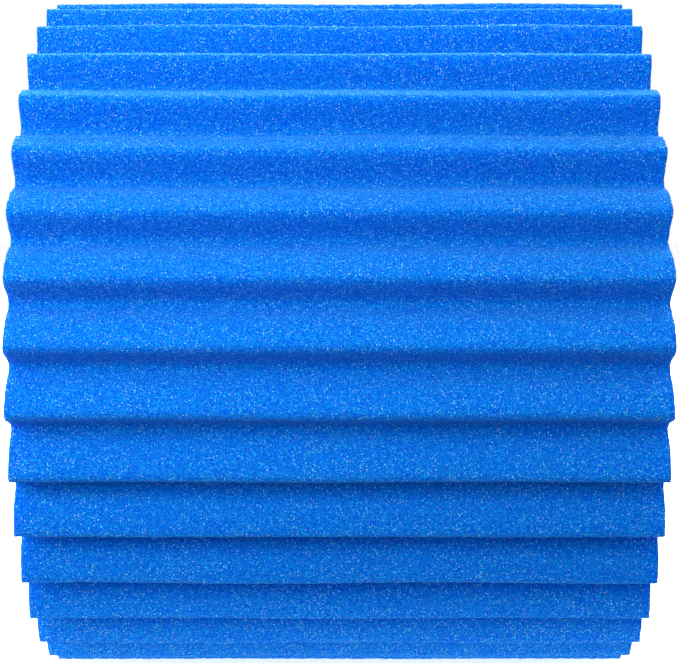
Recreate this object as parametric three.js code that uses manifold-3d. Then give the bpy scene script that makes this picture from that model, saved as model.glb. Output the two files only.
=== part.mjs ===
// Pond filter cartridge: a ribbed foam sleeve on a slotted support core.
//
// Millimetres, +Z up. The cartridge lies on its side on two ribs. Its axis is X, and the
// origin is on that axis at mid-length. The pipe end faces +X, the plugged end faces -X.

import * as THREE from 'three';
import { mergeVertices } from 'three/addons/utils/BufferGeometryUtils.js';
import Module from 'manifold-3d';

const wasm = await Module();
wasm.setup();

// Clearances
const seatGap = 0.3; // between faces that rest on each other
const slideGap = 0.4; // between the foam's bore and the core
const overlap = 1; // how far joined shapes run into each other, and cutters past a wall

// Foam sleeve
const foamLength = 186;
const crestRadius = 110;
const ribDepth = 8.8;
const ribCount = 36;
const ribLean = 0.3; // radians of the wave: the flank that faces down at -Y is the steeper one
const crestSharpness = 1.6; // 1 is a plain cosine wave, more gives thinner crests
const pointsPerRib = 12;
const seamThickness = 0.8;

// Support core
const coreRadius = 65.6;
const coreWall = 2.6;
const coreSides = 48;
const endInset = 3; // the core's ends lie this far inside the foam's ends
const rimDepth = 5; // length of the end pieces' rims, outside the tube
const slotRows = 6;
const slotWidth = 7;
const slotBar = 6.5; // solid band between two rows of slots
const tubeEndBand = 14; // solid band at each end, over the spigots
const spigotLength = 10;
const spigotWall = 2.8;
const plateThickness = 3;
const dishDepth = 3; // floor of an end piece below its rim
const rimWidth = 6.6;

// Outlet end
const pipeRadius = 20; // riser pipe that the outlet pushes on to
const bushWall = 3.7;
const bushBite = 0.2; // the bush's bore is tighter than the pipe by this much on the radius
const lipHeight = 1.2;
const lipWidth = 2.4;
const flangeWidth = 4; // bush flange, out from the hub's bore
const flangeThickness = 2.5;
const hubWall = 5;
const hubLength = 28;
const ledgeThickness = 3;
const ledgeReach = 0.5; // the pipe stop's clearance over the pipe, on the radius
const plateRibs = 8;
const plateRibThickness = 2.4;
const plateRibInset = 0.5; // the ribs' edges lie this far inside the rim's face

// Plugged end
const landWidth = 19.6; // from the core's outside to the plug's seat
const collarWall = 3;
const shoulderWidth = 7; // seat for the plug's flange
const plugClearance = 0.4; // on the radius, plug in collar
const plugWall = 6.6;
const plugDepth = 16;
const gripThickness = 5;
const gripInset = 0.5; // the grip's edge lies this far inside the plug's face
const ringSection = 2.7; // O-ring cord diameter
const grooveSlack = 0.45; // beside the O-ring, on each side
const grooveFromInnerEnd = 4.4;

// Facets of the round pieces
const roundSides = 60;
const cordSides = 10;

// Worked out from the sizes above
const coreHalf = foamLength / 2 - endInset;
const tubeHalf = coreHalf - rimDepth - seatGap;
const flatOfTube = Math.cos(Math.PI / coreSides);
const spigotRadius = (coreRadius - coreWall) * flatOfTube - seatGap;
const dishRadius = coreRadius - rimWidth;
const bushRadius = pipeRadius + bushWall;
const hubBore = bushRadius + seatGap;
const hubRadius = hubBore + hubWall;
const plugSeat = coreRadius - landWidth;
const plugRadius = plugSeat - plugClearance;
const floorOuter = coreHalf - dishDepth;
const floorInner = floorOuter - plateThickness;
const plugInnerEnd = plugDepth - coreHalf; // where the plug and its collar end
const grooveWidth = ringSection + 2 * grooveSlack;
const grooveEnd = plugInnerEnd - grooveFromInnerEnd;

const materials = {
  foam: new THREE.MeshStandardMaterial({ color: 0x1478e0, roughness: 0.95, metalness: 0 }),
  glue: new THREE.MeshStandardMaterial({ color: 0x9fc4e6, roughness: 0.5, metalness: 0 }),
  cage: new THREE.MeshStandardMaterial({ color: 0x2b2e31, roughness: 0.6, metalness: 0 }),
  plug: new THREE.MeshStandardMaterial({ color: 0x24272a, roughness: 0.55, metalness: 0 }),
  rubber: new THREE.MeshStandardMaterial({ color: 0x17181a, roughness: 0.8, metalness: 0 }),
};

// A closed outline of [distance from the axis, place along X], turned round the X axis.
// It runs towards +X on its outside, so the faces point out.
function turned(outline, sides = roundSides) {
  const points = outline.map(([radius, x]) => new THREE.Vector2(radius, x));
  const onAxis = outline[0][0] === 0 && outline.at(-1)[0] === 0;
  if (!onAxis) points.push(points[0].clone());
  return new THREE.LatheGeometry(points, sides).rotateZ(-Math.PI / 2);
}

// The surface as a manifold solid, without the slivers that a lathe leaves on its axis.
function toSolid(geometry) {
  const bare = geometry.clone();
  bare.deleteAttribute('normal');
  bare.deleteAttribute('uv');
  const merged = mergeVertices(bare, 1e-4);
  const corners = merged.index.array;
  const triVerts = [];
  for (let i = 0; i < corners.length; i += 3) {
    const [a, b, c] = corners.slice(i, i + 3);
    if (a !== b && b !== c && c !== a) triVerts.push(a, b, c);
  }
  return new wasm.Manifold(new wasm.Mesh({
    numProp: 3,
    vertProperties: new Float32Array(merged.attributes.position.array),
    triVerts: new Uint32Array(triVerts),
  }));
}

function toGeometry(solid) {
  const mesh = solid.getMesh();
  const geometry = new THREE.BufferGeometry();
  geometry.setAttribute('position', new THREE.BufferAttribute(mesh.vertProperties, 3));
  geometry.setIndex(new THREE.BufferAttribute(mesh.triVerts, 1));
  geometry.computeVertexNormals();
  return geometry;
}

function named(name, geometry, material) {
  const mesh = new THREE.Mesh(geometry, material);
  mesh.name = name;
  return mesh;
}

// The foam's outer radius, from the wave's phase: a valley near 0 and a crest at pi.
function skinRadius(phase) {
  const leaned = phase + ribLean * (1 + Math.cos(phase));
  const rise = ((1 - Math.cos(leaned)) / 2) ** crestSharpness;
  return crestRadius - ribDepth * (1 - rise);
}

// Wave-cut foam wrapped into a cylinder. Angles run from the bottom towards +Y. A valley
// is at the bottom and one at +Y, where the sheet's two ends meet over the glue.
function spongeSleeve() {
  const bore = coreRadius + slideGap;
  const slotHalf = seamThickness / 2 + seatGap;
  const at = (radius, angle) => new THREE.Vector2(radius * Math.cos(angle), radius * Math.sin(angle));
  const seamAngle = Math.PI / 2;
  const seamOuter = skinRadius(0);
  const outline = [at(seamOuter, seamAngle + Math.asin(slotHalf / seamOuter))];
  const outerSteps = ribCount * pointsPerRib;
  for (let i = 1; i < outerSteps; i++) {
    const turn = i * 2 * Math.PI / outerSteps;
    outline.push(at(skinRadius(turn * ribCount), seamAngle + turn));
  }
  outline.push(at(seamOuter, seamAngle - Math.asin(slotHalf / seamOuter)));
  outline.push(at(bore, seamAngle - Math.asin(slotHalf / bore)));
  for (let i = roundSides - 1; i > 0; i--) {
    outline.push(at(bore, seamAngle + i * 2 * Math.PI / roundSides));
  }
  outline.push(at(bore, seamAngle + Math.asin(slotHalf / bore)));
  const sheet = new THREE.ExtrudeGeometry(new THREE.Shape(outline), {
    depth: foamLength,
    bevelEnabled: false,
    steps: 1,
  });
  sheet.rotateY(Math.PI / 2).translate(-foamLength / 2, 0, 0);
  return named('sponge_sleeve', sheet, materials.foam);
}

// The film of glue along the seam, from the bore to just under the valley.
function seamGlue() {
  const inner = coreRadius + slideGap + seatGap;
  const outer = crestRadius - ribDepth - seatGap;
  const film = new THREE.BoxGeometry(foamLength, outer - inner, seamThickness);
  film.translate(0, (inner + outer) / 2, 0);
  return named('seam_glue', film, materials.glue);
}

// Moulded tube with a slot in every second flat, so that the bars between are straight.
function coreTube() {
  const inner = coreRadius - coreWall;
  let tube = toSolid(turned([
    [inner, -tubeHalf],
    [coreRadius, -tubeHalf],
    [coreRadius, tubeHalf],
    [inner, tubeHalf],
  ], coreSides));
  const rowPitch = (2 * (tubeHalf - tubeEndBand) + slotBar) / slotRows;
  const slotLength = rowPitch - slotBar;
  const cutterDepth = coreWall + 2 * overlap;
  for (let row = 0; row < slotRows; row++) {
    const x = (row - (slotRows - 1) / 2) * rowPitch;
    for (let side = 0; side < coreSides; side += 2) {
      const cutter = new THREE.BoxGeometry(slotLength, slotWidth, cutterDepth);
      cutter.translate(x, 0, coreRadius + overlap - cutterDepth / 2);
      cutter.rotateX((side + 0.5) * 2 * Math.PI / coreSides);
      tube = tube.subtract(toSolid(cutter));
    }
  }
  return named('core_tube', toGeometry(tube), materials.cage);
}

// Dished plate over the tube's +X end. Its hub takes the bush, and a ledge stops the pipe.
function outletPlate() {
  const hubInner = coreHalf - hubLength;
  const ledgeRadius = pipeRadius + ledgeReach;
  const spigotInner = spigotRadius - spigotWall;
  const rimFace = coreHalf - rimDepth;
  let plate = toSolid(turned([
    [ledgeRadius, hubInner],
    [hubRadius, hubInner],
    [hubRadius, floorInner],
    [spigotInner, floorInner],
    [spigotInner, rimFace - spigotLength],
    [spigotRadius, rimFace - spigotLength],
    [spigotRadius, rimFace],
    [coreRadius, rimFace],
    [coreRadius, coreHalf],
    [dishRadius, coreHalf],
    [dishRadius, floorOuter],
    [hubRadius, floorOuter],
    [hubRadius, coreHalf],
    [hubBore, coreHalf],
    [hubBore, hubInner + ledgeThickness],
    [ledgeRadius, hubInner + ledgeThickness],
  ]));
  const ribHeight = dishDepth - plateRibInset + overlap;
  const ribLength = dishRadius - hubRadius + 2 * overlap;
  for (let i = 0; i < plateRibs; i++) {
    const rib = new THREE.BoxGeometry(ribHeight, plateRibThickness, ribLength);
    rib.translate(floorOuter - overlap + ribHeight / 2, 0, hubRadius - overlap + ribLength / 2);
    rib.rotateX((i + 0.5) * 2 * Math.PI / plateRibs);
    plate = plate.add(toSolid(rib));
  }
  return named('outlet_plate', toGeometry(plate), materials.cage);
}

// Rubber bush pushed into the hub. Its flange rests on the hub and two lips grip the pipe.
function outletGrommet() {
  const bore = pipeRadius - bushBite;
  const lip = bore - lipHeight;
  const innerEnd = coreHalf - hubLength + ledgeThickness + seatGap;
  const flangeFace = coreHalf + seatGap;
  const outerEnd = flangeFace + flangeThickness;
  const lipPlaces = [outerEnd - 3 * lipWidth, innerEnd + 3 * lipWidth];
  const lips = lipPlaces.flatMap((x) => [
    [bore, x + lipWidth / 2],
    [lip, x],
    [bore, x - lipWidth / 2],
  ]);
  return named('outlet_grommet', turned([
    [bore, innerEnd],
    [bushRadius, innerEnd],
    [bushRadius, flangeFace],
    [hubBore + flangeWidth, flangeFace],
    [hubBore + flangeWidth, outerEnd],
    [bore, outerEnd],
    ...lips,
  ]), materials.rubber);
}

// Ring over the tube's -X end, with a collar inside it and a shoulder for the plug.
function closedEndRing() {
  const spigotInner = spigotRadius - spigotWall;
  const rimFace = rimDepth - coreHalf;
  return named('closed_end_ring', turned([
    [plugSeat, -floorOuter],
    [plugSeat + shoulderWidth, -floorOuter],
    [plugSeat + shoulderWidth, -coreHalf],
    [coreRadius, -coreHalf],
    [coreRadius, rimFace],
    [spigotRadius, rimFace],
    [spigotRadius, rimFace + spigotLength],
    [spigotInner, rimFace + spigotLength],
    [spigotInner, -floorInner],
    [plugSeat + collarWall, -floorInner],
    [plugSeat + collarWall, plugInnerEnd],
    [plugSeat, plugInnerEnd],
  ]), materials.cage);
}

// Cup-shaped plug with a groove for the O-ring and a flat grip across its recess.
function endPlug() {
  const flangeRadius = plugSeat + shoulderWidth - seatGap;
  const recess = plugRadius - plugWall;
  const recessFloor = plugInnerEnd - plateThickness;
  const grooveRadius = plugSeat - seatGap - ringSection - seatGap;
  const cup = toSolid(turned([
    [0, recessFloor],
    [recess, recessFloor],
    [recess, -coreHalf],
    [flangeRadius, -coreHalf],
    [flangeRadius, -floorOuter - seatGap],
    [plugRadius, -floorOuter - seatGap],
    [plugRadius, grooveEnd - grooveWidth],
    [grooveRadius, grooveEnd - grooveWidth],
    [grooveRadius, grooveEnd],
    [plugRadius, grooveEnd],
    [plugRadius, plugInnerEnd],
    [0, plugInnerEnd],
  ]));
  const gripOuter = gripInset - coreHalf;
  const gripHeight = recessFloor - gripOuter + overlap;
  const grip = new THREE.BoxGeometry(gripHeight, gripThickness, 2 * (recess + overlap));
  grip.translate(gripOuter + gripHeight / 2, 0, 0);
  return named('end_plug', toGeometry(cup.add(toSolid(grip))), materials.plug);
}

// The O-ring, round the plug and just inside the collar.
function plugORing() {
  const cord = ringSection / 2;
  const middle = plugSeat - seatGap - cord;
  const ring = new THREE.TorusGeometry(middle, cord, cordSides, roundSides);
  ring.rotateY(Math.PI / 2).translate(grooveEnd - grooveWidth / 2, 0, 0);
  return named('plug_o_ring', ring, materials.rubber);
}

const cartridge = new THREE.Group();
cartridge.add(
  spongeSleeve(),
  seamGlue(),
  coreTube(),
  outletPlate(),
  outletGrommet(),
  closedEndRing(),
  endPlug(),
  plugORing(),
);

export default cartridge;
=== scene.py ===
import math

import bmesh
import bpy
import numpy as np
from mathutils import Matrix, Vector, noise


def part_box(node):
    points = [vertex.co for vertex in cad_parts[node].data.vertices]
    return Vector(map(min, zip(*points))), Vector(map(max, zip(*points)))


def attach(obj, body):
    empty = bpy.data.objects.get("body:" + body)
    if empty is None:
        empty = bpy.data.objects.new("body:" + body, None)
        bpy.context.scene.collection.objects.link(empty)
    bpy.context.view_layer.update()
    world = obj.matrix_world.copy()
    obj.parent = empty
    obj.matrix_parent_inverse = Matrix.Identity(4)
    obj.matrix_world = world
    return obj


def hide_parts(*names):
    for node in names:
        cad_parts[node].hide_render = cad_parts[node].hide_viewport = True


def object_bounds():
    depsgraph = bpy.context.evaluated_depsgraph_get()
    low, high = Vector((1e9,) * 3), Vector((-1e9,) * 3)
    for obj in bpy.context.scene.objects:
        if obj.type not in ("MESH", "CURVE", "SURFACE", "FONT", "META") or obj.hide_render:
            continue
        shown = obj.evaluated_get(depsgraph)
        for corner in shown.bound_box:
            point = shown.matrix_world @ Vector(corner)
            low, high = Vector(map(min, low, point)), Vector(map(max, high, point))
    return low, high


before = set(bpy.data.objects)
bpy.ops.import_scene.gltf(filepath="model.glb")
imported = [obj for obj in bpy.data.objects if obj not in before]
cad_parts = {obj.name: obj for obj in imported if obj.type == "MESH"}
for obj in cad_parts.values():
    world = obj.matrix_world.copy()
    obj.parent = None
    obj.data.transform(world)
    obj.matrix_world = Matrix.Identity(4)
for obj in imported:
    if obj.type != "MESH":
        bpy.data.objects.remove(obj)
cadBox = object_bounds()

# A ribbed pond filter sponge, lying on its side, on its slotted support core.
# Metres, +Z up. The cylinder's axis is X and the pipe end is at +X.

mm = 0.001
fullTurn = 2 * math.pi
weld = 0.001 * mm  # points closer than this count as one
# a Mix node's colour sockets, by number because others share their names
mixA, mixB, mixColour = 6, 7, 2
scene = bpy.context.scene


def linearColour(hexText):
    # an sRGB hex value, turned to linear
    channels = [int(hexText[i:i + 2], 16) / 255 for i in (1, 3, 5)]
    linear = [c / 12.92 if c <= 0.04045 else ((c + 0.055) / 1.055) ** 2.4 for c in channels]
    return (*linear, 1.0)


def addNode(tree, kind, settings=None, links=None):
    # a settings key is an input's name or number, or else one of the node's own options
    node = tree.nodes.new(kind)
    for key, value in (settings or {}).items():
        if isinstance(key, int) or key in node.inputs:
            node.inputs[key].default_value = value
        else:
            setattr(node, key, value)
    for key, socket in (links or {}).items():
        tree.links.new(socket, node.inputs[key])
    return node


def newMaterial(name):
    material = bpy.data.materials.new(name)
    material.use_nodes = True
    material.node_tree.nodes.clear()
    return material, material.node_tree


def addPiece(name, bm, material, smooth=True):
    mesh = bpy.data.meshes.new(name)
    bm.to_mesh(mesh)
    bm.free()
    mesh.materials.append(material)
    if smooth:
        mesh.shade_smooth()
    else:
        mesh.shade_flat()
    piece = bpy.data.objects.new(name, mesh)
    scene.collection.objects.link(piece)
    return piece


def keepFacesFlat(piece):
    # a modifier that shades the broad faces flat and leaves the roundness to their edges
    piece.modifiers.new("flat_faces_stay_flat", "WEIGHTED_NORMAL").keep_sharp = True


cameraView = {
    "distance": 0.5624,
    "elevation": 5.1,
    "lens": 87.1,
    "sensor": 36,
    "nearest": 0.01,
}


def addCamera():
    tilt = math.radians(cameraView["elevation"])
    place = Vector((0, -math.cos(tilt), math.sin(tilt))) * cameraView["distance"]
    data = bpy.data.cameras.new("camera")
    data.lens = cameraView["lens"]
    data.sensor_width = cameraView["sensor"]
    data.clip_start = cameraView["nearest"]
    camera = bpy.data.objects.new("camera", data)
    camera.location = place
    camera.rotation_euler = (-place).to_track_quat("-Z", "Y").to_euler()
    scene.collection.objects.link(camera)
    scene.camera = camera


studio = {
    "floorSize": 8.0,
    "floorColour": "#FAFBFC",  # as the camera sees it
    "floorGlow": 0.75,
    "floorBounce": "#404243",  # as it lights the object
    "tooth": 1 / 900,  # real paper's is about 0.2 mm, drawn coarser so that it can show
    "toothDepth": 0.1 * mm,
    "toothStrength": 0.05,
    "tableLight": 1.1,
    "tableLightAway": 0.2,
    "tableLitTo": 0.09,  # how far the table light reaches from the axis, in front and behind
    "tableDimFrom": 0.12,
    "backdropColour": "#FFFFFF",
    "backdropLevel": 0.03,
    "backdropSides": 3.5,
    "sidesFrom": 0.8,  # how nearly along X a direction points where the sides start to brighten
    "sidesFull": 0.97,
}

# long boxes that run parallel to the object's axis: the angle up from the front in degrees, the
# angle that the box fills, its brightness, how far it stands from the axis, its length, and where
# its middle is along X
softboxes = {
    "key_softbox": {
        "height": 23, "width": 34, "level": 7.4, "reach": 0.7, "length": 0.9, "along": -0.58,
    },
    "top_softbox": {
        "height": 78, "width": 56, "level": 1.6, "reach": 1.6, "length": 2.4, "along": 0.0,
    },
    "rim_softbox": {
        "height": 134, "width": 28, "level": 13.0, "reach": 1.6, "length": 2.4, "along": 0.0,
    },
}


def paperMaterial():
    # matt white sweep paper, overexposed: almost pure white to the camera, with its tooth nearly
    # lost, while it lights the object less than it seems to
    material, tree = newMaterial("matte_white_paper_sweep")
    place = addNode(tree, "ShaderNodeTexCoord").outputs["Object"]
    tooth = addNode(tree, "ShaderNodeTexNoise", {"Scale": 1 / studio["tooth"], "Detail": 2.0},
                    {"Vector": place})
    bump = addNode(tree, "ShaderNodeBump", {
        "Strength": studio["toothStrength"],
        "Distance": studio["toothDepth"],
    }, {"Height": tooth.outputs[0]})
    seen = addNode(tree, "ShaderNodeBsdfDiffuse", {"Color": linearColour(studio["floorColour"])},
                   {"Normal": bump.outputs[0]})
    glow = addNode(tree, "ShaderNodeEmission", {"Strength": studio["floorGlow"]})
    burnt = addNode(tree, "ShaderNodeAddShader", {}, {0: seen.outputs[0], 1: glow.outputs[0]})
    # lit from below along the line that the object lies on
    split = addNode(tree, "ShaderNodeSeparateXYZ", {}, {0: place})
    offLine = addNode(tree, "ShaderNodeMath", {"operation": "ABSOLUTE"}, {0: split.outputs["Y"]})
    level = addNode(tree, "ShaderNodeMapRange", {
        "From Min": studio["tableLitTo"],
        "From Max": studio["tableDimFrom"],
        "To Min": studio["tableLight"],
        "To Max": studio["tableLightAway"],
    }, {"Value": offLine.outputs[0]})
    table = addNode(tree, "ShaderNodeEmission", {}, {"Strength": level.outputs[0]})
    bounce = addNode(tree, "ShaderNodeBsdfDiffuse", {"Color": linearColour(studio["floorBounce"])})
    lighting = addNode(tree, "ShaderNodeAddShader", {}, {0: bounce.outputs[0], 1: table.outputs[0]})
    ray = addNode(tree, "ShaderNodeLightPath")
    shader = addNode(tree, "ShaderNodeMixShader", {}, {
        0: ray.outputs["Is Camera Ray"],
        1: lighting.outputs[0],
        2: burnt.outputs[0],
    })
    addNode(tree, "ShaderNodeOutputMaterial", {}, {"Surface": shader.outputs[0]})
    return material


def addFloor():
    bm = bmesh.new()
    bmesh.ops.create_grid(bm, x_segments=1, y_segments=1, size=studio["floorSize"] / 2)
    bmesh.ops.translate(bm, verts=bm.verts, vec=(0, 0, cadBox[0][2]))
    addPiece("studio_floor", bm, paperMaterial(), smooth=False)


def addSoftbox(name, height, width, level, reach, length, along):
    tilt = math.radians(height)
    data = bpy.data.lights.new(name, "AREA")
    data.shape = "RECTANGLE"
    data.size = length
    data.size_y = 2 * reach * math.tan(math.radians(width / 2))
    data.energy = level * math.pi * data.size * data.size_y
    lamp = bpy.data.objects.new(name, data)
    lamp.location = (along, -reach * math.cos(tilt), reach * math.sin(tilt))
    lamp.rotation_euler = (math.pi / 2 - tilt, 0, 0)
    scene.collection.objects.link(lamp)


def addWorld():
    # white all round to the camera; it lights the object mostly from both ends
    world = bpy.data.worlds.new("lit_backdrop")
    world.use_nodes = True
    tree = world.node_tree
    tree.nodes.clear()
    white = linearColour(studio["backdropColour"])
    direction = addNode(tree, "ShaderNodeTexCoord")
    split = addNode(tree, "ShaderNodeSeparateXYZ", {}, {0: direction.outputs["Generated"]})
    sideways = addNode(tree, "ShaderNodeMath", {"operation": "ABSOLUTE"}, {0: split.outputs["X"]})
    level = addNode(tree, "ShaderNodeMapRange", {
        "interpolation_type": "SMOOTHSTEP",
        "From Min": studio["sidesFrom"],
        "From Max": studio["sidesFull"],
        "To Min": studio["backdropLevel"],
        "To Max": studio["backdropSides"],
    }, {"Value": sideways.outputs[0]})
    lighting = addNode(tree, "ShaderNodeBackground", {"Color": white}, {"Strength": level.outputs[0]})
    shown = addNode(tree, "ShaderNodeBackground", {"Color": white, "Strength": 1.0})
    ray = addNode(tree, "ShaderNodeLightPath")
    both = addNode(tree, "ShaderNodeMixShader", {}, {
        0: ray.outputs["Is Camera Ray"],
        1: lighting.outputs[0],
        2: shown.outputs[0],
    })
    addNode(tree, "ShaderNodeOutputWorld", {}, {"Surface": both.outputs[0]})
    scene.world = world


def addLight():
    for name, settings in softboxes.items():
        addSoftbox(name, **settings)
    addWorld()
    scene.view_settings.view_transform = "Standard"


foamSleeve = {
    "ribs": 36,
    "ribDepth": 8.8 * mm,
    "ribLean": 0.62,  # half the radians of a rib's wave that its valley leans over by
    "crestSharpness": 1.3,
    "ribShift": math.radians(2.1),
    "slideGap": 0.4 * mm,
    "glueGap": 0.7 * mm,
    "stepsAlong": 186,
    "stepsPerRib": 18,
    "stepsThrough": 27,
    "wobble": 0.3 * mm,
    "wobbleAlong": 61,  # radians of its wave in each metre of length
    "wobbleTwist": 2,  # radians that the wave runs ahead or behind
    "wobbleTwists": 5,  # times that it does so round the skin
    "wobbleRound": 7,  # waves round the skin
    "grain": 0.07 * mm,
    "grainReach": 1.6,
    "grainSeed": 7,
}

foamLook = {
    "cell": 0.62 * mm,  # the foam's cells are about 0.9 mm, but look finer where they are cut
    "strutFrom": 0.02,  # the part of a cell's width over which a strut fades into the painted shade of its pore
    "strutTo": 0.24,
    "strut": "#1CB6FF",
    # the pore's darker blue is painted shade, for the light that doesn't reach into the open cells
    "poreShade": "#005CDC",
    "brokenFrom": 0.36,  # the noise levels between which a strut is lost
    "brokenTo": 0.64,
    "brokenRoughness": 0.7,
    # the glint's pale colour is a painted highlight; the glint also has real metallic shine and gloss
    "glint": "#A2E2FF",
    "glintSpacing": 0.8 * mm,
    "glintSize": 0.18 * mm,  # a cut strut is 0.1 mm across, drawn wider so that it shows
    "glintSoftness": 0.3,
    "glintFrom": 0.85,  # a cell's own chance and its patch's level, added
    "glintFull": 1.2,
    "glintMetallic": 0.4,
    "glintHeight": 0.8,
    "patch": 14 * mm,
    "roughness": 0.8,
    "glintRoughness": 0.3,
    "reliefDepth": 0.3 * mm,
    "reliefStrength": 0.8,
    "specular": 0.03,
    "scatter": 9.0 * mm,
    "scatterWeight": 0.5,
    "scatterReach": (0.02, 0.12, 1.0),  # blue light goes much further through the struts than red
    "sheen": "#BFE8FF",
    "sheenWeight": 0.09,
    "sheenRoughness": 0.3,
}


def foamMaterial():
    # open-cell polyurethane foam, hot-wire cut: dark pores and pale struts under a millimetre across,
    # the pores' darker blue being painted shade, crests that let light through, and a glint where the
    # wire has cut a strut, its pale colour a painted highlight with some real shine
    material, tree = newMaterial("open_cell_polyurethane_foam")
    place = addNode(tree, "ShaderNodeTexCoord").outputs["Object"]
    edge = addNode(tree, "ShaderNodeTexVoronoi", {
        "feature": "DISTANCE_TO_EDGE",
        "Scale": 1 / foamLook["cell"],
    }, {"Vector": place})
    strut = addNode(tree, "ShaderNodeMapRange", {
        "From Min": foamLook["strutFrom"],
        "From Max": foamLook["strutTo"],
        "To Min": 1.0,
        "To Max": 0.0,
    }, {"Value": edge.outputs["Distance"]})
    grain = addNode(tree, "ShaderNodeTexNoise", {
        "Scale": 1 / foamLook["cell"],
        "Detail": 2.0,
        "Roughness": foamLook["brokenRoughness"],
    }, {"Vector": place})
    broken = addNode(tree, "ShaderNodeMapRange", {
        "From Min": foamLook["brokenFrom"],
        "From Max": foamLook["brokenTo"],
    }, {"Value": grain.outputs[0]})
    web = addNode(tree, "ShaderNodeMath", {"operation": "MULTIPLY"},
                  {0: strut.outputs[0], 1: broken.outputs[0]})
    # pale struts over pores whose darker blue is painted shade
    body = addNode(tree, "ShaderNodeMix", {
        "data_type": "RGBA",
        mixA: linearColour(foamLook["poreShade"]),
        mixB: linearColour(foamLook["strut"]),
    }, {0: web.outputs[0]})
    # a glint in some of the cells, more of them in some patches than in others: a painted highlight,
    # its pale colour mixed into the base colour, with real metallic shine, gloss and relief added as
    # well
    spark = addNode(tree, "ShaderNodeTexVoronoi", {"Scale": 1 / foamLook["glintSpacing"]},
                    {"Vector": place})
    size = foamLook["glintSize"] / foamLook["glintSpacing"]
    spot = addNode(tree, "ShaderNodeMapRange", {
        "From Min": size * (1 - foamLook["glintSoftness"]),
        "From Max": size * (1 + foamLook["glintSoftness"]),
        "To Min": 1.0,
        "To Max": 0.0,
    }, {"Value": spark.outputs["Distance"]})
    chance = addNode(tree, "ShaderNodeSeparateXYZ", {}, {0: spark.outputs["Color"]})
    patch = addNode(tree, "ShaderNodeTexNoise", {"Scale": 1 / foamLook["patch"], "Detail": 2.0},
                    {"Vector": place})
    lit = addNode(tree, "ShaderNodeMath", {"operation": "ADD"},
                  {0: chance.outputs["X"], 1: patch.outputs[0]})
    shown = addNode(tree, "ShaderNodeMapRange", {
        "From Min": foamLook["glintFrom"],
        "From Max": foamLook["glintFull"],
    }, {"Value": lit.outputs[0]})
    glint = addNode(tree, "ShaderNodeMath", {"operation": "MULTIPLY"},
                    {0: spot.outputs[0], 1: shown.outputs[0]})
    # the painted highlight: the glint's pale colour laid over the foam's own
    colour = addNode(tree, "ShaderNodeMix", {
        "data_type": "RGBA",
        mixB: linearColour(foamLook["glint"]),
    }, {0: glint.outputs[0], mixA: body.outputs[mixColour]})
    gloss = addNode(tree, "ShaderNodeMapRange", {
        "To Min": foamLook["roughness"],
        "To Max": foamLook["glintRoughness"],
    }, {"Value": glint.outputs[0]})
    shine = addNode(tree, "ShaderNodeMath", {
        "operation": "MULTIPLY",
        1: foamLook["glintMetallic"],
    }, {0: glint.outputs[0]})
    height = addNode(tree, "ShaderNodeMath", {
        "operation": "MULTIPLY_ADD",
        1: foamLook["glintHeight"],
    }, {0: glint.outputs[0], 2: web.outputs[0]})
    bump = addNode(tree, "ShaderNodeBump", {
        "Strength": foamLook["reliefStrength"],
        "Distance": foamLook["reliefDepth"],
    }, {"Height": height.outputs[0]})
    shader = addNode(tree, "ShaderNodeBsdfPrincipled", {
        "Specular IOR Level": foamLook["specular"],
        "Subsurface Weight": foamLook["scatterWeight"],
        "Subsurface Radius": foamLook["scatterReach"],
        "Subsurface Scale": foamLook["scatter"],
        "Sheen Weight": foamLook["sheenWeight"],
        "Sheen Roughness": foamLook["sheenRoughness"],
        "Sheen Tint": linearColour(foamLook["sheen"]),
    }, {
        "Base Color": colour.outputs[mixColour],
        "Metallic": shine.outputs[0],
        "Roughness": gloss.outputs[0],
        "Normal": bump.outputs[0],
    })
    addNode(tree, "ShaderNodeOutputMaterial", {}, {"Surface": shader.outputs[0]})
    return material


def foamSheet():
    # a flat block of foam, split into a fine grid on all six faces: X is its width, Y runs the
    # way it will be wrapped and Z is its thickness, each from 0 to 1
    bm = bmesh.new()
    bmesh.ops.create_cube(bm, size=1, matrix=Matrix.Translation((0.5, 0.5, 0.5)))
    steps = (foamSleeve["stepsAlong"], foamSleeve["ribs"] * foamSleeve["stepsPerRib"],
             foamSleeve["stepsThrough"])
    for axis, count in enumerate(steps):
        # the edges that still run the block's whole length along this axis
        runs = [e for e in bm.edges if abs(e.verts[0].co[axis] - e.verts[1].co[axis]) > 0.5]
        bmesh.ops.subdivide_edges(bm, edges=runs, cuts=count - 1, use_grid_fill=True)
    return bm


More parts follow.
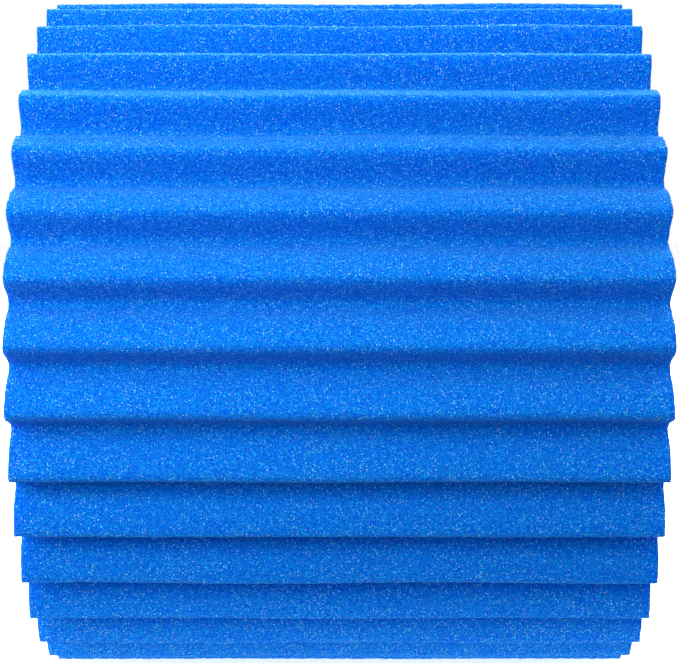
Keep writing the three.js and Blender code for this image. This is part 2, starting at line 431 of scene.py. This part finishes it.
def wrapFoam(mesh):
    # the sheet's thickness goes from the bore to the ribbed skin, and its length once round
    flat = np.empty(len(mesh.vertices) * 3)
    mesh.vertices.foreach_get("co", flat)
    x, s, t = flat.reshape(-1, 3).T
    low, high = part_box("sponge_sleeve")
    along = low[0] + x * (high[0] - low[0])
    turn = s * fullTurn
    # the two highest crests stand half a rib to either side of the top
    crest = high[2] / math.cos(fullTurn / foamSleeve["ribs"] / 2)
    valley = crest - foamSleeve["ribDepth"]
    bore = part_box("core_tube")[1][2] + foamSleeve["slideGap"]
    # the ribs stand a little off even spacing, and none crosses the seam
    shift = foamSleeve["ribShift"] * np.sin(turn / 2) ** 4
    phase = (turn + shift) * foamSleeve["ribs"]
    leaned = phase - foamSleeve["ribLean"] * (1 + np.cos(phase))
    rise = ((1 - np.cos(leaned)) / 2) ** foamSleeve["crestSharpness"]
    skin = valley + (crest - valley) * rise
    twist = foamSleeve["wobbleTwist"] * np.sin(turn * foamSleeve["wobbleTwists"])
    wave = np.sin(along * foamSleeve["wobbleAlong"] + twist)
    skin += foamSleeve["wobble"] * wave * np.sin(turn * foamSleeve["wobbleRound"])
    radius = bore + t * (skin - bore)
    # the sheet's two ends stay flat and parallel, a glue line apart
    edge = np.arcsin(foamSleeve["glueGap"] / radius)
    angle = edge + s * (fullTurn - 2 * edge)
    # turned from the seam at +Y
    flat = np.stack([along, radius * np.cos(angle), -radius * np.sin(angle)], 1)
    mesh.vertices.foreach_set("co", flat.ravel())
    mesh.update()


def roughenFoam(mesh):
    # each vertex moves by a random part of a cut cell's depth
    count = len(mesh.vertices)
    flat, facing = np.empty(count * 3), np.empty(count * 3)
    mesh.vertices.foreach_get("co", flat)
    mesh.vertex_normals.foreach_get("vector", facing)
    rng = np.random.default_rng(foamSleeve["grainSeed"])
    reach = foamSleeve["grainReach"]
    push = rng.normal(0, 1, count).clip(-reach, reach) * foamSleeve["grain"]
    flat = flat.reshape(-1, 3) + facing.reshape(-1, 3) * push[:, None]
    mesh.vertices.foreach_set("co", flat.ravel())
    mesh.update()


def addFoam():
    bm = foamSheet()
    print("foam sheet:", len(bm.faces), "faces")
    sleeve = addPiece("ribbed_foam_sleeve", bm, foamMaterial())
    wrapFoam(sleeve.data)
    roughenFoam(sleeve.data)
    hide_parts("sponge_sleeve")
    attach(sleeve, "sponge")


turning = {
    "steps": 96,
    "roundingSteps": 3,
}


def spinRound(bm):
    # all that is in the mesh goes once round the X axis
    bmesh.ops.spin(bm, geom=bm.verts[:] + bm.edges[:], cent=(0, 0, 0), axis=(1, 0, 0),
                   dvec=(0, 0, 0), angle=fullTurn, steps=turning["steps"], use_merge=True)
    bmesh.ops.remove_doubles(bm, verts=bm.verts, dist=weld)
    bmesh.ops.recalc_face_normals(bm, faces=bm.faces)


def turnedPiece(outline, rounding):
    # a closed outline of (distance from the axis, place along X), its corners rounded, then spun
    bm = bmesh.new()
    corners = [bm.verts.new((x, 0, radius)) for radius, x in outline]
    bm.faces.new(corners)
    bend = [v for v in corners if v.co.z > weld]
    bmesh.ops.bevel(bm, geom=bend, affect="VERTICES", offset=rounding,
                    segments=turning["roundingSteps"], profile=0.5, material=-1, clamp_overlap=True)
    bmesh.ops.delete(bm, geom=bm.faces[:], context="FACES_ONLY")
    # an edge that lies on the axis would spin into nothing
    for edge in [e for e in bm.edges if all(v.co.z < weld for v in e.verts)]:
        bm.edges.remove(edge)
    spinRound(bm)
    return bm


def addBlock(bm, low, high, rounding, turn=0.0):
    # a box between two corners with rounded edges, turned about the X axis
    middle = (Vector(low) + Vector(high)) / 2
    size = Vector(high) - Vector(low)
    place = Matrix.Rotation(turn, 4, "X") @ Matrix.Translation(middle) @ Matrix.Diagonal((*size, 1))
    block = bmesh.ops.create_cube(bm, size=1, matrix=place)["verts"]
    edges = list(dict.fromkeys(e for v in block for e in v.link_edges))
    bmesh.ops.bevel(bm, geom=edges, affect="EDGES", offset=rounding,
                    segments=turning["roundingSteps"], profile=0.5, material=-1, clamp_overlap=True)


mouldedLook = {
    "texture": 0.35 * mm,  # a moulding tool's is about 0.1 mm, drawn coarser so that it shows
    "textureStrength": 0.35,
    "textureRoughness": 0.6,
    "scuff": 7 * mm,
    "scuffRoughness": 0.7,
    "scuffFrom": 0.5,
    "scuffFull": 0.75,
    "glossSpread": 0.08,
    "ior": 1.49,
}

mouldedFinishes = {
    # waxy and charcoal grey, with broad soft highlights
    "moulded_charcoal_polypropylene": {
        "colour": "#24272A", "worn": "#3A3E42", "roughness": 0.42, "depth": 0.03 * mm,
    },
    # harder and blacker, with tighter highlights and a finer skin
    "moulded_black_abs": {
        "colour": "#191B1D", "worn": "#2C2F32", "roughness": 0.36, "depth": 0.02 * mm,
    },
    # dull and the darkest of the three, greyer where it has been rubbed
    "moulded_nitrile_rubber": {
        "colour": "#111213", "worn": "#2A2B2C", "roughness": 0.62, "depth": 0.04 * mm,
    },
}


def mouldedMaterial(name):
    # moulded in a spark-eroded tool: a fine even grain with little gloss of its own, rubbed paler
    # and smoother in patches where hands and hoses have touched it
    finish = mouldedFinishes[name]
    material, tree = newMaterial(name)
    place = addNode(tree, "ShaderNodeTexCoord").outputs["Object"]
    grain = addNode(tree, "ShaderNodeTexNoise", {
        "Scale": 1 / mouldedLook["texture"],
        "Detail": 3.0,
        "Roughness": mouldedLook["textureRoughness"],
    }, {"Vector": place})
    patch = addNode(tree, "ShaderNodeTexNoise", {
        "Scale": 1 / mouldedLook["scuff"],
        "Detail": 6.0,
        "Roughness": mouldedLook["scuffRoughness"],
    }, {"Vector": place})
    rubbed = addNode(tree, "ShaderNodeMapRange", {
        "From Min": mouldedLook["scuffFrom"],
        "From Max": mouldedLook["scuffFull"],
    }, {"Value": patch.outputs[0]})
    tone = addNode(tree, "ShaderNodeMix", {
        "data_type": "RGBA",
        mixA: linearColour(finish["colour"]),
        mixB: linearColour(finish["worn"]),
    }, {0: rubbed.outputs[0]})
    gloss = addNode(tree, "ShaderNodeMapRange", {
        "To Min": finish["roughness"] + mouldedLook["glossSpread"],
        "To Max": finish["roughness"] - mouldedLook["glossSpread"],
    }, {"Value": patch.outputs[0]})
    bump = addNode(tree, "ShaderNodeBump", {
        "Strength": mouldedLook["textureStrength"],
        "Distance": finish["depth"],
    }, {"Height": grain.outputs[0]})
    shader = addNode(tree, "ShaderNodeBsdfPrincipled", {"IOR": mouldedLook["ior"]}, {
        "Base Color": tone.outputs[mixColour],
        "Roughness": gloss.outputs[0],
        "Normal": bump.outputs[0],
    })
    addNode(tree, "ShaderNodeOutputMaterial", {}, {"Surface": shader.outputs[0]})
    return material


def addMoulded(name, bm, material, node, body):
    piece = addPiece(name, bm, material)
    keepFacesFlat(piece)
    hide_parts(node)
    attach(piece, body)


coreTube = {
    "wall": 2.6 * mm,
    "columns": 24,
    "firstColumn": 0.25,  # how many columns the first slot stands past the top
    "rows": 6,
    "slotWidth": 7 * mm,
    "slotBar": 6.5 * mm,
    "slotCorner": 2.2 * mm,
    "endBand": 14 * mm,
    "edge": 0.4 * mm,
    "edgeSteps": 2,
    "edgeAngle": math.radians(50),
    "stepsAround": 6,  # across one cell of the tube
    "stepsAlong": 8,
    "weld": 0.01 * mm,
}


def slotCell(bm, cellSize, slotSize):
    # one cell of the tube, laid flat: a rectangle with a round-cornered slot through its middle
    loops = []
    for size in (cellSize, slotSize):
        grid = bmesh.ops.create_grid(bm, x_segments=coreTube["stepsAlong"],
                                     y_segments=coreTube["stepsAround"], size=0.5,
                                     matrix=Matrix.Diagonal((*size, 1, 1)))["verts"]
        loops.append([v for v in grid if v.is_boundary])
        bmesh.ops.delete(bm, geom=[v for v in grid if not v.is_boundary], context="VERTS")
    corner = coreTube["slotCorner"]
    for vert in loops[1]:
        inner = Vector((math.copysign(min(abs(vert.co.x), slotSize[0] / 2 - corner), vert.co.x),
                        math.copysign(min(abs(vert.co.y), slotSize[1] / 2 - corner), vert.co.y), 0))
        out = vert.co - inner
        if min(abs(out.x), abs(out.y)) > weld / 10:
            vert.co = inner + out.normalized() * corner
    bmesh.ops.bridge_loops(bm, edges=bm.edges)


def slotSheet(low, high, radius):
    # the tube's wall, laid flat: rows and columns of cells, with a plain band at both ends
    pitch = (high - low - 2 * coreTube["endBand"] + coreTube["slotBar"]) / coreTube["rows"]
    arc = fullTurn * radius / coreTube["columns"]
    bm = bmesh.new()
    slotCell(bm, (pitch, arc), (pitch - coreTube["slotBar"], coreTube["slotWidth"]))
    cell = bm.verts[:] + bm.edges[:] + bm.faces[:]
    for row in range(coreTube["rows"]):
        for column in range(coreTube["columns"]):
            copy = bmesh.ops.duplicate(bm, geom=cell)["geom"]
            place = ((row - (coreTube["rows"] - 1) / 2) * pitch,
                     (column + coreTube["firstColumn"]) * arc, 0)
            bmesh.ops.translate(bm, verts=[v for v in copy if isinstance(v, bmesh.types.BMVert)],
                                vec=place)
    bmesh.ops.delete(bm, geom=[v for v in cell if isinstance(v, bmesh.types.BMVert)],
                     context="VERTS")
    bmesh.ops.remove_doubles(bm, verts=bm.verts, dist=coreTube["weld"])
    for side, end in ((-1, low), (1, high)):
        reach = side * pitch * coreTube["rows"] / 2
        rim = [e for e in bm.edges
               if all(abs(v.co.x - reach) < coreTube["weld"] for v in e.verts)]
        grown = bmesh.ops.extrude_edge_only(bm, edges=rim)["geom"]
        for vert in [v for v in grown if isinstance(v, bmesh.types.BMVert)]:
            vert.co.x = end
    return bm


def addCoreTube(material):
    low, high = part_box("core_tube")
    radius = high[2]
    bm = slotSheet(low[0], high[0], radius)
    for vert in bm.verts:
        # rolled up from the top towards -Y
        angle = vert.co.y / radius
        vert.co = Vector((vert.co.x, -radius * math.sin(angle), radius * math.cos(angle)))
    bmesh.ops.remove_doubles(bm, verts=bm.verts, dist=coreTube["weld"])
    bmesh.ops.recalc_face_normals(bm, faces=bm.faces)
    # an open tube without a wall yet, so the recalculation may have chosen either side
    face = next(iter(bm.faces))
    middle = face.calc_center_median()
    if face.normal.dot(Vector((0, middle.y, middle.z))) < 0:
        bmesh.ops.reverse_faces(bm, faces=bm.faces)
    piece = addPiece("slotted_core_tube", bm, material)
    wall = piece.modifiers.new("wall", "SOLIDIFY")
    wall.thickness = coreTube["wall"]
    wall.offset = -1  # inwards
    edges = piece.modifiers.new("edges", "BEVEL")
    edges.width = coreTube["edge"]
    edges.segments = coreTube["edgeSteps"]
    edges.limit_method = "ANGLE"
    edges.angle_limit = coreTube["edgeAngle"]
    keepFacesFlat(piece)
    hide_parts("core_tube")
    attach(piece, "core")


# both end pieces have a dished floor, a rim and a spigot that goes into the tube
endPiece = {
    "rounding": 0.5 * mm,
    "floor": 3 * mm,
    "dish": 3 * mm,
    "rimDepth": 5 * mm,
    "spigotRadius": 62.57 * mm,
    "spigotWall": 2.8 * mm,
    "spigotLength": 10 * mm,
}

outletPlate = {
    "rimWidth": 6.6 * mm,
    "hubBore": 24 * mm,
    "hubWall": 5 * mm,
    "ledgeRadius": 20.5 * mm,
    "ledge": 3 * mm,
    "ribs": 8,
    "ribThickness": 2.4 * mm,
    "ribInset": 0.5 * mm,
    "sink": 0.8 * mm,
}


def addOutletPlate(material):
    low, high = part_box("outlet_plate")
    radius, face, hubEnd = high[2], high[0], low[0]
    rim = radius - outletPlate["rimWidth"]
    floorOuter = face - endPiece["dish"]
    floorInner = floorOuter - endPiece["floor"]
    rimFace = face - endPiece["rimDepth"]
    spigot = endPiece["spigotRadius"]
    spigotInner = spigot - endPiece["spigotWall"]
    spigotEnd = rimFace - endPiece["spigotLength"]
    hubBore = outletPlate["hubBore"]
    hubRadius = hubBore + outletPlate["hubWall"]
    ledgeFace = hubEnd + outletPlate["ledge"]
    bm = turnedPiece([
        (outletPlate["ledgeRadius"], hubEnd),
        (hubRadius, hubEnd),
        (hubRadius, floorInner),
        (spigotInner, floorInner),
        (spigotInner, spigotEnd),
        (spigot, spigotEnd),
        (spigot, rimFace),
        (radius, rimFace),
        (radius, face),
        (rim, face),
        (rim, floorOuter),
        (hubRadius, floorOuter),
        (hubRadius, face),
        (hubBore, face),
        (hubBore, ledgeFace),
        (outletPlate["ledgeRadius"], ledgeFace),
    ], endPiece["rounding"])
    half, sink = outletPlate["ribThickness"] / 2, outletPlate["sink"]
    for i in range(outletPlate["ribs"]):
        addBlock(bm, (floorOuter - sink, -half, hubRadius - sink),
                 (face - outletPlate["ribInset"], half, rim + sink),
                 endPiece["rounding"], (i + 0.5) * fullTurn / outletPlate["ribs"])
    addMoulded("ribbed_outlet_plate", bm, material, "outlet_plate", "core")


grommet = {
    "rounding": 0.35 * mm,
    "bore": 19.8 * mm,
    "outer": 23.7 * mm,
    "flange": 2.5 * mm,
    "lip": 1.2 * mm,
    "lipWidth": 2.4 * mm,
    "lipFromEnd": 7.2 * mm,
}


def addGrommet(material):
    low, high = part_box("outlet_grommet")
    flangeFace = high[0] - grommet["flange"]
    bore, half = grommet["bore"], grommet["lipWidth"] / 2
    # two ridges that narrow the bore, one near each end
    lips = []
    for x in (high[0] - grommet["lipFromEnd"], low[0] + grommet["lipFromEnd"]):
        lips += [(bore, x + half), (bore - grommet["lip"], x), (bore, x - half)]
    bm = turnedPiece([
        (bore, low[0]),
        (grommet["outer"], low[0]),
        (grommet["outer"], flangeFace),
        (high[2], flangeFace),
        (high[2], high[0]),
        (bore, high[0]),
    ] + lips, grommet["rounding"])
    addMoulded("lipped_pipe_grommet", bm, material, "outlet_grommet", "core")


closedEnd = {
    "seat": 46 * mm,
    "shoulder": 7 * mm,
    "collarWall": 3 * mm,
}


def addClosedEndRing(material):
    low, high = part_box("closed_end_ring")
    radius, face, collarEnd = high[2], low[0], high[0]
    seat = closedEnd["seat"]
    shoulder = seat + closedEnd["shoulder"]
    collar = seat + closedEnd["collarWall"]
    floorOuter = face + endPiece["dish"]
    floorInner = floorOuter + endPiece["floor"]
    rimFace = face + endPiece["rimDepth"]
    spigot = endPiece["spigotRadius"]
    spigotInner = spigot - endPiece["spigotWall"]
    spigotEnd = rimFace + endPiece["spigotLength"]
    bm = turnedPiece([
        (seat, floorOuter),
        (shoulder, floorOuter),
        (shoulder, face),
        (radius, face),
        (radius, rimFace),
        (spigot, rimFace),
        (spigot, spigotEnd),
        (spigotInner, spigotEnd),
        (spigotInner, floorInner),
        (collar, floorInner),
        (collar, collarEnd),
        (seat, collarEnd),
    ], endPiece["rounding"])
    addMoulded("shouldered_end_ring", bm, material, "closed_end_ring", "core")


endPlug = {
    "rounding": 0.45 * mm,
    "radius": 45.6 * mm,
    "wall": 6.6 * mm,
    "flange": 2.7 * mm,
    "grooveRadius": 42.7 * mm,
    "grooveFromEnd": 4.4 * mm,
    "grooveWidth": 3.6 * mm,
    "floor": 3 * mm,
    "grip": 5 * mm,
    "gripInset": 0.5 * mm,
    "gripRounding": 1.4 * mm,
    "sink": 0.8 * mm,
    "ridges": 7,
    "ridgePitch": 5 * mm,
    "ridgeSize": 1.4 * mm,
    "ridgeHeight": 0.45 * mm,
    "ridgeRounding": 0.36 * mm,
}


def addEndPlug(material):
    low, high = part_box("end_plug")
    face, innerEnd = low[0], high[0]
    radius, grooveRadius = endPlug["radius"], endPlug["grooveRadius"]
    recess = radius - endPlug["wall"]
    recessFloor = innerEnd - endPlug["floor"]
    grooveEnd = innerEnd - endPlug["grooveFromEnd"]
    grooveStart = grooveEnd - endPlug["grooveWidth"]
    seat = face + endPlug["flange"]
    bm = turnedPiece([
        (0, recessFloor),
        (recess, recessFloor),
        (recess, face),
        (high[2], face),
        (high[2], seat),
        (radius, seat),
        (radius, grooveStart),
        (grooveRadius, grooveStart),
        (grooveRadius, grooveEnd),
        (radius, grooveEnd),
        (radius, innerEnd),
        (0, innerEnd),
    ], endPlug["rounding"])
    half, reach = endPlug["grip"] / 2, recess + endPlug["sink"]
    gripFace, gripRounding = face + endPlug["gripInset"], endPlug["gripRounding"]
    addBlock(bm, (gripFace, -half, -reach), (recessFloor + endPlug["sink"], half, reach),
             gripRounding)
    # ridges for the fingers, on both sides of the grip
    out, size = half + endPlug["ridgeHeight"], endPlug["ridgeSize"] / 2
    for i in range(endPlug["ridges"]):
        z = (i - (endPlug["ridges"] - 1) / 2) * endPlug["ridgePitch"]
        addBlock(bm, (gripFace + gripRounding, -out, z - size),
                 (recessFloor - gripRounding, out, z + size), endPlug["ridgeRounding"])
    addMoulded("end_plug_with_grip", bm, material, "end_plug", "plug")


oRing = {
    "cordSides": 16,
}


def addORing(material):
    low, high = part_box("plug_o_ring")
    cord = (high[0] - low[0]) / 2
    middle = (high[0] + low[0]) / 2
    place = Matrix.Translation((middle, 0, high[2] - cord)) @ Matrix.Rotation(math.pi / 2, 4, "X")
    bm = bmesh.new()
    bmesh.ops.create_circle(bm, cap_ends=False, radius=cord, segments=oRing["cordSides"],
                            matrix=place)
    spinRound(bm)
    piece = addPiece("o_ring_of_plug", bm, material)
    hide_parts("plug_o_ring")
    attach(piece, "plug")


glueSeam = {
    "stepsAlong": 160,
    "stepsDeep": 6,
    "waver": 0.12 * mm,
    "waverLength": 6 * mm,
    "bead": 0.5 * mm,
    "beadsPerWaver": 1.7,
    "beadSink": 0.3,  # the part of a bead's height that stays below the foam
    "beadRow": 5,  # the line of the noise that the beads follow, away from the waver's
    "drop": 1.5 * mm,
    "dropDepth": 0.4 * mm,
    "dropStrength": 0.6,
    "inFoam": "#2E86D8",
    "amber": "#C9C6A8",
    "roughness": 0.25,
    "ior": 1.48,
    "scatter": 0.8 * mm,
    "scatterWeight": 0.4,
}


def adhesiveMaterial():
    # contact adhesive that has set in the foam's open cells: clear, faintly amber, glossy in drops
    material, tree = newMaterial("set_contact_adhesive")
    place = addNode(tree, "ShaderNodeTexCoord").outputs["Object"]
    drops = addNode(tree, "ShaderNodeTexNoise", {"Scale": 1 / glueSeam["drop"], "Detail": 3.0},
                    {"Vector": place})
    tone = addNode(tree, "ShaderNodeMix", {
        "data_type": "RGBA",
        mixA: linearColour(glueSeam["inFoam"]),
        mixB: linearColour(glueSeam["amber"]),
    }, {0: drops.outputs[0]})
    bump = addNode(tree, "ShaderNodeBump", {
        "Strength": glueSeam["dropStrength"],
        "Distance": glueSeam["dropDepth"],
    }, {"Height": drops.outputs[0]})
    shader = addNode(tree, "ShaderNodeBsdfPrincipled", {
        "Roughness": glueSeam["roughness"],
        "IOR": glueSeam["ior"],
        "Subsurface Weight": glueSeam["scatterWeight"],
        "Subsurface Scale": glueSeam["scatter"],
    }, {"Base Color": tone.outputs[mixColour], "Normal": bump.outputs[0]})
    addNode(tree, "ShaderNodeOutputMaterial", {}, {"Surface": shader.outputs[0]})
    return material


def addGlue():
    low, high = (Vector(p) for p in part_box("seam_glue"))
    size = high - low
    bm = bmesh.new()
    place = Matrix.Translation((low + high) / 2) @ Matrix.Diagonal((*size, 1))
    bmesh.ops.create_cube(bm, size=1, matrix=place)
    for axis, count in ((0, glueSeam["stepsAlong"]), (1, glueSeam["stepsDeep"])):
        # the edges that still run the strip's whole length along this axis
        runs = [e for e in bm.edges
                if abs(e.verts[0].co[axis] - e.verts[1].co[axis]) > size[axis] / 2]
        bmesh.ops.subdivide_edges(bm, edges=runs, cuts=count - 1, use_grid_fill=True)
    for vert in bm.verts:
        spot = vert.co / glueSeam["waverLength"]
        vert.co.z += glueSeam["waver"] * noise.noise(Vector((spot.x, spot.y, 0)))
        if vert.co.y > high.y - weld:
            bead = noise.noise(Vector((spot.x * glueSeam["beadsPerWaver"], glueSeam["beadRow"], 0)))
            vert.co.y += glueSeam["bead"] * (bead - glueSeam["beadSink"])
    bmesh.ops.recalc_face_normals(bm, faces=bm.faces)
    piece = addPiece("glued_seam_line", bm, adhesiveMaterial())
    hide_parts("seam_glue")
    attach(piece, "sponge")


addCamera()
addFloor()
addLight()
print("studio done")
addFoam()
print("foam done")
addGlue()
print("glue done")
polypropylene = mouldedMaterial("moulded_charcoal_polypropylene")
blackAbs = mouldedMaterial("moulded_black_abs")
rubber = mouldedMaterial("moulded_nitrile_rubber")
addCoreTube(polypropylene)
print("core tube done")
addOutletPlate(polypropylene)
addGrommet(rubber)
addClosedEndRing(polypropylene)
print("end pieces done")
addEndPlug(blackAbs)
addORing(rubber)
print("plug done")
